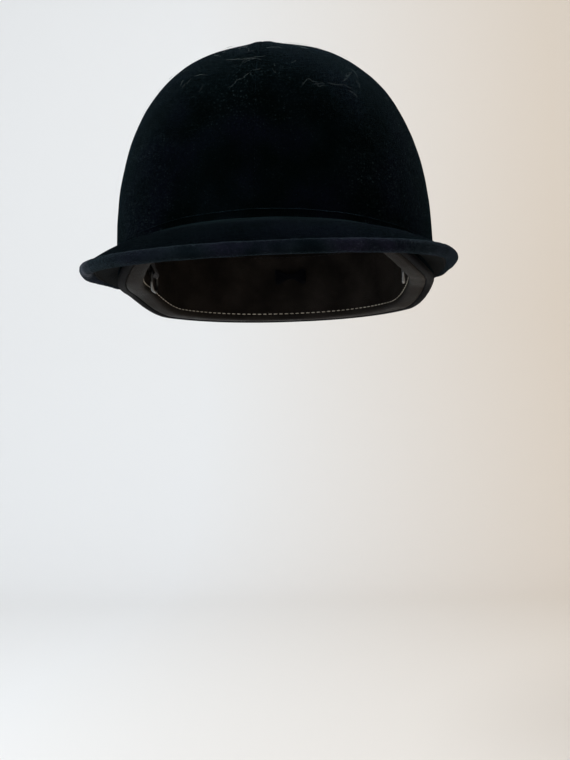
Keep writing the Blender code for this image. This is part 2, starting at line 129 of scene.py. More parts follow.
def wall_point(angle, height, depth):
    """Point of the dome at a height below the crown."""
    top = CROWN_HEIGHT - depth - SHOULDER_HEIGHT
    rise = max(height - SHOULDER_HEIGHT, 0.0) / top
    width = max(1.0 - rise ** TOP_POWER, 0.0) ** (1.0 / SIDE_POWER)
    x, y = oval(angle, depth)
    return Vector((x * width, y * width, height))


def crown_point(angle, turn, depth):
    """Point of the dome by its turn: 0 at the shoulder, a quarter turn at the crown."""
    width = max(cos(turn), 0.0) ** (2.0 / SIDE_POWER)
    rise = sin(turn) ** (2.0 / TOP_POWER)
    x, y = oval(angle, depth)
    height = SHOULDER_HEIGHT + (CROWN_HEIGHT - depth - SHOULDER_HEIGHT) * rise
    return Vector((x * width, y * width, height))


def edge_height(angle):
    """Height of the cap's lower edge at an angle round the head."""
    side = abs(math.degrees(math.atan2(sin(angle), cos(angle))))
    height = lerp(FOREHEAD_EDGE, EAR_EDGE, ease(side, 25.0, 78.0))
    return height * (1.0 - ease(side, 90.0, 122.0))


def seam_height(angle):
    return SEAM_SIDE_HEIGHT + SEAM_ARCH * cos(angle) ** 2


def turn_at(height, depth):
    rise = (height - SHOULDER_HEIGHT) / (CROWN_HEIGHT - depth - SHOULDER_HEIGHT)
    return math.asin(rise ** (TOP_POWER / 2.0))


def dome_column(angle, share, low, top_turn, depth, wall_share=0.16):
    """Point up one column of the dome, from height low to a turn near the crown."""
    if share < wall_share:
        return wall_point(angle, lerp(low, WALL_TOP, share / wall_share), depth)
    share = (share - wall_share) / (1.0 - wall_share)
    return crown_point(angle, lerp(turn_at(WALL_TOP, depth), top_turn, share), depth)


RIM_POINTS = [Vector((-x, y, z)) for x, y, z in reversed(RIM_HALF[1:])]
RIM_POINTS += [Vector((x, y, z + rise)) for (x, y, z), rise in zip(RIM_HALF, RIM_LEFT_RISE)]


def rim_point(place):
    """Point on the rim of the peak: place runs from -1 at one temple to 1 at the other."""
    position = (place + 1.0) / 2.0 * (len(RIM_POINTS) - 1)
    first = min(int(position), len(RIM_POINTS) - 2)
    share = position - first
    before, start, end, after = (RIM_POINTS[min(max(first + k, 0), len(RIM_POINTS) - 1)]
                                 for k in (-1, 0, 1, 2))
    square = share * share
    cube = square * share
    point = start * (2.0 * cube - 3.0 * square + 1.0)
    point += (end - before) / 2.0 * (cube - 2.0 * square + share)
    point += end * (3.0 * square - 2.0 * cube)
    point += (after - start) / 2.0 * (cube - square)
    return point


def peak_arch(place, reach):
    """How far the peak stands above a straight line from the dome to its rim."""
    return PEAK_CROWN * (1.0 - ease(abs(place), *PEAK_CROWN_FADE)) * 4.0 * reach * (1.0 - reach)


def peak_face(place, reach):
    """Point on the peak's upper face: reach is 0 at the dome and 1 at the rim."""
    angle = PEAK_ROOT_ANGLE * place
    root = wall_point(angle, seam_height(angle), -0.0008)
    point = root.lerp(rim_point(place), reach)
    point.z += peak_arch(place, reach)
    return point


def peak_normal(place, reach):
    step = 0.01
    along = peak_face(min(place + step, 1.0), reach) - peak_face(max(place - step, -1.0), reach)
    across = peak_face(place, min(reach + step, 1.0)) - peak_face(place, max(reach - step, 0.0))
    return across.cross(along).normalized()


def rim_direction(place):
    step = 0.01
    return (rim_point(min(place + step, 1.0)) - rim_point(max(place - step, -1.0))).normalized()


def rim_radius(place):
    radius = lerp(RIM_RADIUS, RIM_END_RADIUS, ease(abs(place), 0.60, 1.0))
    return radius * lerp(1.0, 0.35, ease(abs(place), 0.88, 1.0))


def rim_frame(place):
    """Middle of the rolled rim, and the directions up and out of it."""
    along = rim_direction(place)
    level = ease(abs(place), 0.55, 0.85)
    up = peak_normal(place, 1.0).lerp(UP, level)
    out = along.cross(up).normalized()
    up = out.cross(along)
    centre = rim_point(place) - up * (PEAK_MIDDLE * rim_radius(place) / RIM_RADIUS)
    centre -= out * (0.0016 * ease(abs(place), 0.86, 1.0))
    return centre, up, out


# ---- building pieces

def add_object(name, data):
    item = bpy.data.objects.new(name, data)
    bpy.context.scene.collection.objects.link(item)
    return item


def finish_piece(name, points, faces, uvs, material, body="cap", slot=None, replaces=()):
    """A smooth-shaded mesh that rides on a body. Its points are about the head's middle."""
    mesh = bpy.data.meshes.new(name)
    mesh.from_pydata([(p[0], p[1] + CAP_CENTRE_Y, p[2]) for p in points], [], faces)
    mesh.validate()
    if uvs:
        layer = mesh.uv_layers.new(name="UVMap")
        for loop in mesh.loops:
            layer.data[loop.index].uv = uvs[loop.vertex_index]
    for polygon in mesh.polygons:
        polygon.use_smooth = True
    mesh.materials.append(material)
    piece = add_object(name, mesh)
    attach(piece, body)
    if replaces:
        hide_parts(*replaces)
    return piece


def skin(name, place, columns, rows, material, wrap=False, pole=None, uv_size=(1.0, 1.0), **kept):
    """A closed skin: place(u, v, side) gives its outer (0) and inner (1) points.

    The columns close into a ring with wrap, and the top rows meet in the two points
    of pole, where it is given.
    """
    column_count = columns if wrap else columns + 1
    row_count = rows if pole else rows + 1
    points = []
    uvs = []
    for side in (0, 1):
        for i in range(column_count):
            for j in range(row_count):
                points.append(place(i / columns, j / rows, side))
                uvs.append((i / columns * uv_size[0], j / rows * uv_size[1]))
    inner = column_count * row_count

    def outer_index(i, j):
        return (i % column_count) * row_count + j

    faces = []
    for i in range(columns):
        for j in range(row_count - 1):
            quad = (outer_index(i, j), outer_index(i + 1, j),
                    outer_index(i + 1, j + 1), outer_index(i, j + 1))
            faces.append(quad)
            faces.append(tuple(inner + index for index in reversed(quad)))
        a, b = outer_index(i, 0), outer_index(i + 1, 0)
        faces.append((inner + a, inner + b, b, a))
        a, b = outer_index(i, row_count - 1), outer_index(i + 1, row_count - 1)
        if pole:
            faces += [(a, b, len(points)), (inner + b, inner + a, len(points) + 1)]
        else:
            faces.append((a, b, inner + b, inner + a))
    if not wrap:
        for j in range(row_count - 1):
            a, b = outer_index(0, j), outer_index(0, j + 1)
            faces.append((a, b, inner + b, inner + a))
            a, b = outer_index(columns, j), outer_index(columns, j + 1)
            faces.append((inner + a, inner + b, b, a))
    if pole:
        points.extend(pole)
        uvs.extend([(0.0, uv_size[1])] * 2)
    return finish_piece(name, points, faces, uvs, material, **kept)


def tube_faces(rings, sides, closed, start=0):
    """Faces of a tube of rings, which either closes on itself or has flat ends."""
    faces = []
    for i in range(rings if closed else rings - 1):
        for j in range(sides):
            k = (j + 1) % sides
            n = (i + 1) % rings
            faces.append((start + i * sides + j, start + i * sides + k,
                          start + n * sides + k, start + n * sides + j))
    if not closed:
        faces.append(tuple(start + j for j in reversed(range(sides))))
        faces.append(tuple(start + (rings - 1) * sides + j for j in range(sides)))
    return faces


def tube(name, rings, material, closed=False, uv_size=None, **kept):
    """A tube through rings of points, closed on itself or with flat ends.

    uv_size is the length of the whole tube and the width from one point of a ring to the next.
    """
    sides = len(rings[0])
    runs = len(rings) if closed else len(rings) - 1
    points = [point for ring in rings for point in ring]
    uvs = uv_size and [(i / runs * uv_size[0], j * uv_size[1])
                       for i in range(len(rings)) for j in range(sides)]
    return finish_piece(name, points, tube_faces(len(rings), sides, closed), uvs, material, **kept)


def run_lengths(path):
    """Distance travelled along a path at each of its points."""
    run = [0.0]
    for first, second in zip(path, path[1:]):
        run.append(run[-1] + (second - first).length)
    return run


def straight_runs(corners, steps):
    """Points along the straight runs between corners, steps to a run, without the last corner."""
    return [tuple(lerp(start, end, step / steps) for start, end in zip(first, second))
            for first, second in zip(corners, corners[1:]) for step in range(steps)]


def path_normals(path, width, closed):
    """Unit vectors square to a path and to the direction of its width."""
    normals = []
    for index in range(len(path)):
        if closed:
            ahead, behind = path[(index + 1) % len(path)], path[index - 1]
        else:
            ahead, behind = path[min(index + 1, len(path) - 1)], path[max(index - 1, 0)]
        normals.append((ahead - behind).normalized().cross(width).normalized())
    return normals


def ribbon(name, path, width, half_width, thickness, material,
           rib=0.0, pitch=0.0011, closed=False, across=8, notch=0.0, **kept):
    """A strip of ribbon along a path, with round edges, ribs across it and a notched far end."""
    normals = path_normals(path, width, closed)
    run = run_lengths(path)
    outline = []
    for side in (1.0, -1.0):
        for k in range(across + 1):
            share = side * (2.0 * k / across - 1.0)
            outline.append((share, side * sqrt(max(1.0 - abs(share) ** 8, 0.0))))
    points = []
    uvs = []
    for index, (point, normal) in enumerate(zip(path, normals)):
        share_along = index / (len(path) - 1)
        half = half_width(share_along)
        wave = rib * sin(tau * run[index] / pitch)
        cut = width.cross(normal) * (notch * ease(share_along, 0.7, 1.0))
        for share, face in outline:
            depth = face * (thickness / 2.0 + wave * (1.0 - share ** 6))
            points.append(point + width * (half * share) + normal * depth - cut * (1.0 - abs(share)))
            uvs.append((run[index], half * share))
    faces = tube_faces(len(path), len(outline), closed)
    return finish_piece(name, points, faces, uvs, material, **kept)


def stitches(name, path, normals, length, width, material, skip=0.45, **kept):
    """A row of separate stitches that lie along a path, as flattened beads of thread."""
    run = run_lengths(path)
    count = max(int(run[-1] / (length * (1.0 + skip))), 1)
    pitch = run[-1] / count
    points = []
    faces = []
    index = 0
    for stitch in range(count):
        middle = (stitch + 0.5) * pitch
        while index < len(run) - 2 and run[index + 1] < middle:
            index += 1
        share = (middle - run[index]) / max(run[index + 1] - run[index], 1e-9)
        centre = path[index].lerp(path[index + 1], share)
        along = (path[index + 1] - path[index]).normalized()
        out = normals[index].normalized()
        side = along.cross(out)
        start = len(points)
        for ring in range(5):
            place = ring / 2.0 - 1.0
            swell = (1.0, 0.35)[abs(place) > 0.75]
            rise = width * 0.35 * (1.0 - place * place)
            for corner in range(6):
                turn = tau * corner / 6.0
                points.append(centre + along * (place * length / 2.0)
                              + side * (cos(turn) * width / 2.0 * swell)
                              + out * (sin(turn) * width / 2.0 * swell + rise))
        faces += tube_faces(5, 6, False, start)
    return finish_piece(name, points, faces, None, material, **kept)


# ---- materials

def add_node(tree, kind, inputs=None, **settings):
    """A shader node of a kind, such as Math: inputs are values, or sockets to link from."""
    made = tree.nodes.new("ShaderNode" + kind)
    for key, value in settings.items():
        setattr(made, key, value)
    for key, value in (inputs or {}).items():
        if isinstance(value, bpy.types.NodeSocket):
            tree.links.new(value, made.inputs[key])
        else:
            made.inputs[key].default_value = value
    return made


def new_material(name, roughness, sheen=0.0, sheen_roughness=0.4, sheen_tint=(1.0, 1.0, 1.0),
                 specular=0.5, metallic=0.0):
    material = bpy.data.materials.new(name)
    material.use_nodes = True
    shader = material.node_tree.nodes["Principled BSDF"]
    for key, value in (("Roughness", roughness), ("Metallic", metallic), ("Specular IOR Level", specular),
                       ("Sheen Weight", sheen), ("Sheen Roughness", sheen_roughness),
                       ("Sheen Tint", (*sheen_tint, 1.0))):
        shader.inputs[key].default_value = value
    return material, material.node_tree, shader


# Dust and lint specks in the velvet, which on the sides also serve as painted sheen at the edges: cells to
# the metre, reach in a cell, share of cells, strength.
DUST_AND_SHEEN = ((1150.0, 0.34, 0.42, 0.45), (640.0, 0.26, 0.28, 0.7),
        (330.0, 0.15, 0.28, 0.9), (170.0, 0.075, 0.30, 1.0))
# Middle and radius of the painted highlight, a lighter patch at the wearer's right end of the rim.
TIP_HIGHLIGHT_MIDDLE = (-0.0985, CAP_CENTRE_Y - 0.088, 0.0125)
TIP_HIGHLIGHT_RADIUS = 0.027


def coordinates(tree, kind):
    return add_node(tree, "TexCoord").outputs[kind]


def maths(tree, operation, first, second=0.0):
    return add_node(tree, "Math", {0: first, 1: second}, operation=operation).outputs[0]


def times(tree, first, second):
    return maths(tree, "MULTIPLY", first, second)


def partly(tree, value, share):
    """A factor that is 1 where the value is 1, and lower by share where it is 0."""
    return maths(tree, "ADD", times(tree, value, share), 1.0 - share)


def spread(tree, value, low, high, to_low=0.0, to_high=1.0, **settings):
    """A value that runs from low to high, mapped to run from to_low to to_high."""
    inputs = {"Value": value, "From Min": low, "From Max": high, "To Min": to_low, "To Max": to_high}
    return add_node(tree, "MapRange", inputs, **settings).outputs[0]


def mixed(tree, factor, first, second):
    """First where factor is 0, second where it is 1: each is a plain colour or a socket."""
    ends = {key: end if isinstance(end, bpy.types.NodeSocket) else (*end, 1.0)
            for key, end in (("A", first), ("B", second))}
    return add_node(tree, "Mix", {"Factor": factor, **ends}, data_type="RGBA").outputs["Result"]


def noise_value(tree, where, size, detail=2.0, low=0.35, high=0.65):
    """Noise whose lumps are about size across, spread over 0 to 1."""
    texture = add_node(tree, "TexNoise", {"Vector": where, "Scale": 1.0 / size, "Detail": detail})
    return spread(tree, texture.outputs["Fac"], low, high)


def bump(tree, shader, height, distance, strength=1.0):
    made = add_node(tree, "Bump", {"Height": height, "Distance": distance, "Strength": strength})
    tree.links.new(made.outputs["Normal"], shader.inputs["Normal"])


def velvet_material(name, dark, light, dust_and_sheen_colour, sheen, tint, painted_highlight=None):
    """Deep pile: soft crush marks, a fine grain, dust on the crown, specks on the sides that are dust and
    painted sheen, and a painted highlight where one is given.
    """
    material, tree, shader = new_material(name, 0.9, sheen, 0.14, tint, specular=0.0)
    where = coordinates(tree, "Object")
    crush = noise_value(tree, where, 0.022, 3.0)
    grain = noise_value(tree, where, 0.0011, 2.0, 0.25, 0.75)
    shade = times(tree, crush, partly(tree, grain, 0.7))
    navy = (light[0] * 1.2, light[1] * 0.75, light[2] * 1.15)
    light = mixed(tree, noise_value(tree, where, 0.045, 1.0, 0.40, 0.60), light, navy)
    colour = mixed(tree, shade, dark, light)
    # Where a painted highlight is given, a lighter colour is mixed in over its patch.
    if painted_highlight:
        amount, highlight_colour = painted_highlight
        colour = mixed(tree, times(tree, amount(tree), partly(tree, shade, 0.6)), colour, highlight_colour)
    across, _, height = add_node(tree, "SeparateXYZ", {"Vector": where}).outputs
    # Dust gathers on the crown; on the sides the same specks also lighten the edges as painted sheen.
    crown = spread(tree, height, 0.075, 0.142, 0.08)
    sides = spread(tree, maths(tree, "ABSOLUTE", across), 0.035, 0.088)
    patches = noise_value(tree, where, 0.024, 5.0, 0.36, 0.66)
    dust_and_sheen_mask = times(tree, maths(tree, "MAXIMUM", crown, sides), partly(tree, patches, 0.75))
    for scale, reach, share, strength in DUST_AND_SHEEN:
        cells = add_node(tree, "TexVoronoi", {"Vector": where, "Scale": scale})
        dot = spread(tree, cells.outputs["Distance"], reach, reach * 0.4)
        picked = add_node(tree, "SeparateColor", {"Color": cells.outputs["Color"]}).outputs[0]
        dot = times(tree, dot, maths(tree, "LESS_THAN", picked, share))
        colour = mixed(tree, times(tree, times(tree, dot, strength), dust_and_sheen_mask), colour, dust_and_sheen_colour)
    tree.links.new(colour, shader.inputs["Base Color"])
    pile = noise_value(tree, where, 0.00055, 2.0, 0.2, 0.8)
    bump(tree, shader, maths(tree, "ADD", times(tree, crush, 0.8), pile), 0.0005, 0.85)
    return material


def woven_material(name, dark, light, pitch, roughness, sheen=0.2, depth=0.00012, specular=0.01):
    """Ribbon, tape or cloth: crossing threads in the piece's own run and width."""
    material, tree, shader = new_material(name, roughness, sheen, 0.4, specular=specular)
    apart = add_node(tree, "SeparateXYZ", {"Vector": coordinates(tree, "UV")})
    waves = [maths(tree, "SINE", times(tree, socket, tau / size))
             for socket, size in zip(apart.outputs[:2], pitch)]
    weave = partly(tree, times(tree, *waves), 0.5)
    where = coordinates(tree, "Object")
    shade = times(tree, partly(tree, noise_value(tree, where, 0.009, 3.0), 0.6), weave)
    tree.links.new(mixed(tree, shade, dark, light), shader.inputs["Base Color"])
    fuzz = noise_value(tree, where, 0.0004, 1.0, 0.2, 0.8)
    bump(tree, shader, maths(tree, "ADD", weave, times(tree, fuzz, 0.35)), depth)
    return material


def grain_material(name, dark, light, size, roughness, depth, metallic=0.0, specular=0.5):
    """Leather, laminate, foam, metal: cells with fine creases, darker where worn."""
    material, tree, shader = new_material(name, roughness, metallic=metallic, specular=specular)
    where = coordinates(tree, "Object")
    cells = add_node(tree, "TexVoronoi", {"Vector": where, "Scale": 1.0 / size},
                     feature="DISTANCE_TO_EDGE")
    crease = spread(tree, cells.outputs["Distance"], 0.0, 0.18)
    patches = noise_value(tree, where, size * 18.0, 4.0)
    shade = times(tree, patches, partly(tree, crease, 0.4))
    tree.links.new(mixed(tree, shade, dark, light), shader.inputs["Base Color"])
    gloss = spread(tree, patches, 0.0, 1.0, roughness - 0.08, roughness + 0.10)
    tree.links.new(gloss, shader.inputs["Roughness"])
    fine = noise_value(tree, where, size * 0.35, 2.0, 0.2, 0.8)
    bump(tree, shader, maths(tree, "ADD", crease, times(tree, fine, 0.3)), depth)
    return material


def painted_tip_highlight(tree):
    """How strong the painted highlight is: a lighter patch round the right end of the rim."""
    where = coordinates(tree, "Object")
    away = add_node(tree, "VectorMath", {0: where, 1: TIP_HIGHLIGHT_MIDDLE}, operation="DISTANCE")
    patch = spread(tree, away.outputs["Value"], TIP_HIGHLIGHT_RADIUS, 0.0, interpolation_type="SMOOTHSTEP")
    return times(tree, patch, noise_value(tree, where, 0.0035, 3.0, 0.30, 0.62))


def painted_fold_highlight(tree):
    """How strong the painted highlight is: along the fold where the peak leaves the dome."""
    across = add_node(tree, "SeparateXYZ", {"Vector": coordinates(tree, "UV")}).outputs[1]
    return spread(tree, across, 0.36, 0.08)


VELVET = velvet_material("velvet_cover", (0.0004, 0.0009, 0.0009), (0.0011, 0.0023, 0.0029),
                         (0.060, 0.085, 0.088), 0.068, (0.40, 0.66, 0.82))
# The rim velvet gets a painted highlight, a lighter patch at its right end.
RIM_VELVET = velvet_material("velvet_rim", (0.0016, 0.0030, 0.0040), (0.0078, 0.0118, 0.0145),
                             (0.060, 0.075, 0.085), 0.13, (0.44, 0.60, 0.72),
                             (painted_tip_highlight, (0.145, 0.145, 0.172)))
# The peak velvet gets a painted highlight, a lighter band along the fold at its root.
PEAK_VELVET = velvet_material("velvet_peak", (0.0003, 0.0007, 0.0009), (0.0010, 0.0021, 0.0027),
                              (0.050, 0.070, 0.075), 0.030, (0.40, 0.62, 0.76),
                              (painted_fold_highlight, (0.0068, 0.0125, 0.0135)))
GROSGRAIN = woven_material("grosgrain", (0.0006, 0.0006, 0.0010), (0.0050, 0.0054, 0.0070),
                           (0.0011, 0.0009), 0.6, 0.02)
CLOTH = woven_material("underside_cloth", (0.0006, 0.0010, 0.0012), (0.0036, 0.0052, 0.0060),
                       (0.0009, 0.0009), 0.85, 0.02)
SATIN = woven_material("lining_satin", (0.055, 0.055, 0.070), (0.15, 0.15, 0.18),
                       (0.0006, 0.0006), 0.34, 0.3, 0.00003, 0.25)
# The tape's own grey is darkened here as painted shade, for the shadow it lies in inside the cap.
TAPE = woven_material("cotton_tape", (0.02, 0.02, 0.022), (0.07, 0.07, 0.074),
                      (0.0010, 0.0008), 0.85, 0.05, 0.0002)
LABEL = woven_material("label_cloth", (0.50, 0.47, 0.40), (0.80, 0.77, 0.69),
                       (0.0006, 0.0005), 0.7, 0.2, 0.00006)
# The leather is darkened beyond its own dark brown as painted shade, for the shade a wearer's head casts
# inside the cap.
LEATHER = grain_material("sweatband_leather", (0.0052, 0.0043, 0.0036), (0.0150, 0.0124, 0.0105),
                         0.0012, 0.50, 0.00010, specular=0.025)
LAMINATE = grain_material("shell_laminate", (0.09, 0.07, 0.05), (0.20, 0.16, 0.12), 0.0030, 0.6, 0.0002)
FOAM = grain_material("pad_foam", (0.15, 0.15, 0.16), (0.27, 0.27, 0.28), 0.0009, 0.95, 0.0002,
                      specular=0.1)
CORD = grain_material("cotton_cord", (0.36, 0.33, 0.28), (0.62, 0.58, 0.50), 0.0008, 0.9, 0.0002)
STEEL = grain_material("ring_steel", (0.08, 0.08, 0.078), (0.17, 0.17, 0.165), 0.0016, 0.36, 0.00002,
                       metallic=1.0)
THREAD = grain_material("dark_thread", (0.0035, 0.0034, 0.0034), (0.014, 0.013, 0.0125), 0.0005, 0.7, 0.0001,
                        specular=0.1)
PALE_THREAD = grain_material("pale_thread", (0.30, 0.27, 0.22), (0.52, 0.48, 0.40), 0.0005, 0.7, 0.0001)
LINT = grain_material("lint", (0.14, 0.165, 0.165), (0.30, 0.34, 0.33), 0.0005, 0.9, 0.0001, specular=0.1)


# ---- velvet cover

def cover_relief(angle, point):
    """How far the velvet stands out from its smooth shape at a point of the dome."""
    radius = hypot(point.x, point.y)
    relief = 0.00030 * ripple(point, 0.030) + 0.00013 * ripple(point, 0.009, 3.0)
    relief += 0.00007 * ripple(point, 0.0028, 7.0)
    for seam in range(4):
        turn = math.remainder(angle - seam * pi / 2.0, tau)
        if abs(turn) > 0.6:
            continue
        across = abs(turn) * radius
        relief += 0.00022 * bell(across - 0.0040, 0.0026) * ease(point.z, 0.05, 0.12)
        if seam == 0:
            crown = ease(point.z, 0.122, 0.141) * ease(radius, 0.010, 0.034)
            relief += 0.0012 * bell(across, 0.0085) * crown
    return relief


def make_cover():
    """Four velvet panels with their edges turned in along the seams."""
    quarter = pi / 2.0
    for index, place_name in enumerate(("front_left", "back_left", "back_right", "front_right")):
        start = quarter * index + COVER_SEAM_GAP
        end = quarter * (index + 1) - COVER_SEAM_GAP

        def place(u, v, side, start=start, end=end):
            u = u - 0.13 * sin(tau * u)
            angle = lerp(start, end, u)
            low = edge_height(angle) + COVER_RISE
            if side:
                return dome_column(angle, v, low, COVER_TOP_TURN, COVER_THICKNESS)
            smooth = dome_column(angle, v, low, COVER_TOP_TURN, 0.0)
            across = min(angle - start, end - angle) * hypot(smooth.x, smooth.y)
            turned = 1.0 - min(across / 0.0009, 1.0)
            tuck = 0.0005 * (1.0 - sqrt(1.0 - turned * turned)) * ease(smooth.z, 0.09, 0.14)
            return dome_column(angle, v, low, COVER_TOP_TURN, tuck - cover_relief(angle, smooth))

        skin(f"cover_{place_name}", place, 72, 92, VELVET, slot="velvet",
             replaces=(f"velvet_{place_name}",))


def dome_top(x, y):
    share = hypot(x / CAP_HALF_WIDTH, y / CAP_HALF_LENGTH)
    bulge = (1.0 - share ** SIDE_POWER) ** (1.0 / TOP_POWER)
    return SHOULDER_HEIGHT + (CROWN_HEIGHT - SHOULDER_HEIGHT) * bulge


def make_button():
    """Velvet-covered button, with the cloth gathered in under its edge."""
    radius = 0.0105
    rise = 0.0024
    lift = 0.0003

    def place(u, v, side):
        turn = v * pi / 2.0
        angle = tau * u
        gather = 1.0 + 0.018 * cos(16.0 * angle) * (1.0 - v)
        reach = radius * cos(turn) * (gather if side == 0 else 0.97)
        x = reach * sin(angle)
        y = -reach * cos(angle)
        z = dome_top(x, y) + lift
        if side == 0:
            z += 0.0004 + (rise - 0.0004) * sin(turn) ** 0.8
            z -= 0.0002 * (0.5 + 0.5 * cos(16.0 * angle)) * (1.0 - v) * v * 4.0
        return Vector((x, y, z))

    pole = [Vector((0.0, 0.0, CROWN_HEIGHT + lift + up)) for up in (rise, 0.0)]
    skin("crown_button_cover", place, 96, 14, VELVET, wrap=True, pole=pole, slot="velvet",
         replaces=("crown_button",))


def make_base_band():
    """Folded band over the joint of dome and peak, with a bead along both edges."""
    reach = radians(88.0)
    width = 0.0054

    def place(u, v, side):
        angle = lerp(-reach, reach, u)
        level = seam_height(angle) + 0.0004 + width * v
        if side:
            return wall_point(angle, level, -0.0003)
        bead = 0.00055 * (bell(v - 0.13, 0.10) + 0.8 * bell(v - 0.88, 0.09))
        edge = min(v, 1.0 - v)
        rounded = 0.0012 * sqrt(min(edge / 0.16, 1.0)) + bead
        front = 0.0007 * bell(angle, 0.03)
        tuck = ease(reach - abs(angle), 0.0, 0.05)
        point = wall_point(angle, level, 0.0)
        uneven = 0.00018 * ripple(point, 0.007, 5.0) + 0.00007 * ripple(point, 0.002, 9.0)
        height = level + 0.00025 * ripple((angle, 0.0, v * 0.1), 0.16, 2.0)
        return wall_point(angle, height, -0.0003 - (rounded + front + uneven) * lerp(0.35, 1.0, tuck))

    skin("base_band_fold", place, 360, 18, VELVET, slot="velvet", replaces=("base_band",))


# ---- peak

def sheet_point(u, v, above, lift):
    """Point on the sheet above or below the peak's board, raised by lift from its middle."""
    place = SHEET_END * (2.0 * u - 1.0)
    angle = PEAK_ROOT_ANGLE * place
    centre, up, out = rim_frame(place)
    thick = rim_radius(place)
    height = seam_height(angle)
    closing = ease(abs(place), *SHEET_CLOSING)
    if above:
        edge = centre + up * (0.60 * thick) - out * (0.68 * thick)
        height = lerp(height, centre.z + 0.4 * thick, closing)
    else:
        low = lerp(height - 0.0044, edge_height(angle) + 0.0040, ease(abs(place), 0.55, 0.88))
        edge = centre - up * (0.50 * thick) - out * (0.56 * thick)
        height = lerp(low, centre.z - 0.4 * thick, closing)
    point = wall_point(angle, height, 0.0002).lerp(edge, v)
    point.z += peak_arch(place, v) + lift
    return point


def make_peak_sheets():
    """Velvet above the peak, a board inside it and cloth below."""

    def top(u, v, side):
        if side:
            return sheet_point(u, v, True, -0.0010)
        point = sheet_point(u, v, True, 0.0)
        uneven = 0.00030 * ripple(point, 0.018, 4.0) + 0.00010 * ripple(point, 0.004, 8.0)
        fold = 0.0013 * bell(v - 0.10, 0.07)
        return sheet_point(u, v, True, uneven * sin(pi * v) + fold)

    skin("peak_velvet", top, 280, 34, PEAK_VELVET, slot="velvet", replaces=("peak_top_velvet",))

    def core(u, v, side):
        u = lerp(0.1, 0.9, u)
        v = lerp(0.02, 0.90, v)
        upper = sheet_point(u, v, True, -0.0013)
        lower = sheet_point(u, v, False, 0.0007)
        return upper.lerp(lower, (0.04, 0.96)[side])

    skin("peak_board_core", core, 160, 20, LAMINATE, slot="laminate", replaces=("peak_board",))

    def below(u, v, side):
        if side:
            point = sheet_point(u, v, False, 0.0)
            return sheet_point(u, v, False, -0.0004 - 0.00015 * ripple(point, 0.012, 6.0))
        return sheet_point(u, v, False, 0.0004)

    skin("peak_underside", below, 280, 24, CLOTH, uv_size=(0.38, 0.045), slot="peak_cloth",
         replaces=("peak_underside_cloth",))


def rim_ring(place, sides, reach):
    """Ring of points round the rim, at reach(turn, point of the plain rim) from its middle."""
    centre, up, out = rim_frame(place)
    thick = rim_radius(place)
    ring = []
    for side in range(sides):
        turn = tau * side / sides
        direction = up * cos(turn) + out * sin(turn)
        ring.append(centre + direction * reach(turn, centre + direction * thick))
    return ring


def make_rim():
    """Velvet rolled over a cord, which runs round the peak and tapers off past the temples."""
    stations = 440
    sides = 26
    rings = []
    for station in range(stations + 1):
        place = 2.0 * station / stations - 1.0
        thick = rim_radius(place)
        travel = min(station, stations - station) / stations * 0.46
        end = sqrt(max(1.0 - (1.0 - min(travel / thick, 1.0)) ** 2, 0.0))

        def reach(turn, spot):
            pucker = 0.00010 * sin(station * 0.9) * max(-sin(turn), 0.0)
            swell = 0.00022 * ripple(spot, 0.012, 1.0) + 0.00013 * ripple(spot, 0.0026, 6.0)
            valley = -0.0005 * bell(math.remainder(turn + 1.25, tau), 0.22)
            return (thick - 0.0001 + swell + pucker + valley) * max(end, 0.06)

        rings.append(rim_ring(place, sides, reach))
    tube("rim_roll", rings, RIM_VELVET, uv_size=(0.4, 0.028 / sides), slot="velvet",
         replaces=("peak_rim_roll",))

    stations = 260
    rings = []
    for station in range(stations + 1):
        place = CORD_END * (2.0 * station / stations - 1.0)

        def strand(turn, spot):
            return (rim_radius(place) - 0.0014) * (1.0 + 0.06 * cos(3.0 * turn + 1.1 * station))

        rings.append(rim_ring(place, 18, strand))
    tube("rim_cord", rings, CORD, slot="cord", replaces=("peak_rim_cord",))


def make_underside_stitches():
    path = [sheet_point(0.12 + 0.76 * step / 240, 0.90, False, -0.0006) for step in range(241)]
    normals = [-UP] * len(path)
    stitches("underside_stitches", path, normals, 0.0028, 0.0006, THREAD, slot="peak_cloth")



# ---- edge binding, sweatband, lining

def make_edge_binding():
    """Grosgrain folded over the lower edge: outside, under, and up the inside."""
    columns = 1800
    outline = [(0.0002, 0.0026), (0.0, 0.0019), (0.0, 0.0010), (0.0004, 0.0003), (0.0011, 0.0),
               (0.0024, 0.0), (0.0037, 0.0), (0.0044, 0.0003), (0.0048, 0.0010), (0.0048, 0.0019),
               (0.0046, 0.0026)]
    inner = [(0.0036, 0.0025), (0.0014, 0.0025)]
    rings = []
    for column in range(columns):
        angle = tau * column / columns
        edge = edge_height(angle)
        rib = 0.00006 * sin(tau * column / 3.0)
        ring = []
        for index, (depth, rise) in enumerate(outline):
            outward = rib if index < 5 else -rib * (index > 6)
            lift = 0.0 if 4 <= index <= 6 else 0.00015 * ripple((angle, rise * 50.0, 0.0), 0.05, 2.0)
            ring.append(wall_point(angle, edge + rise + lift, depth - outward))
        ring += [wall_point(angle, edge + rise, depth) for depth, rise in inner]
        rings.append(ring)
    tube("binding_ribbon", rings, GROSGRAIN, closed=True, uv_size=(0.66, 0.001), slot="grosgrain",
         replaces=("edge_binding",))


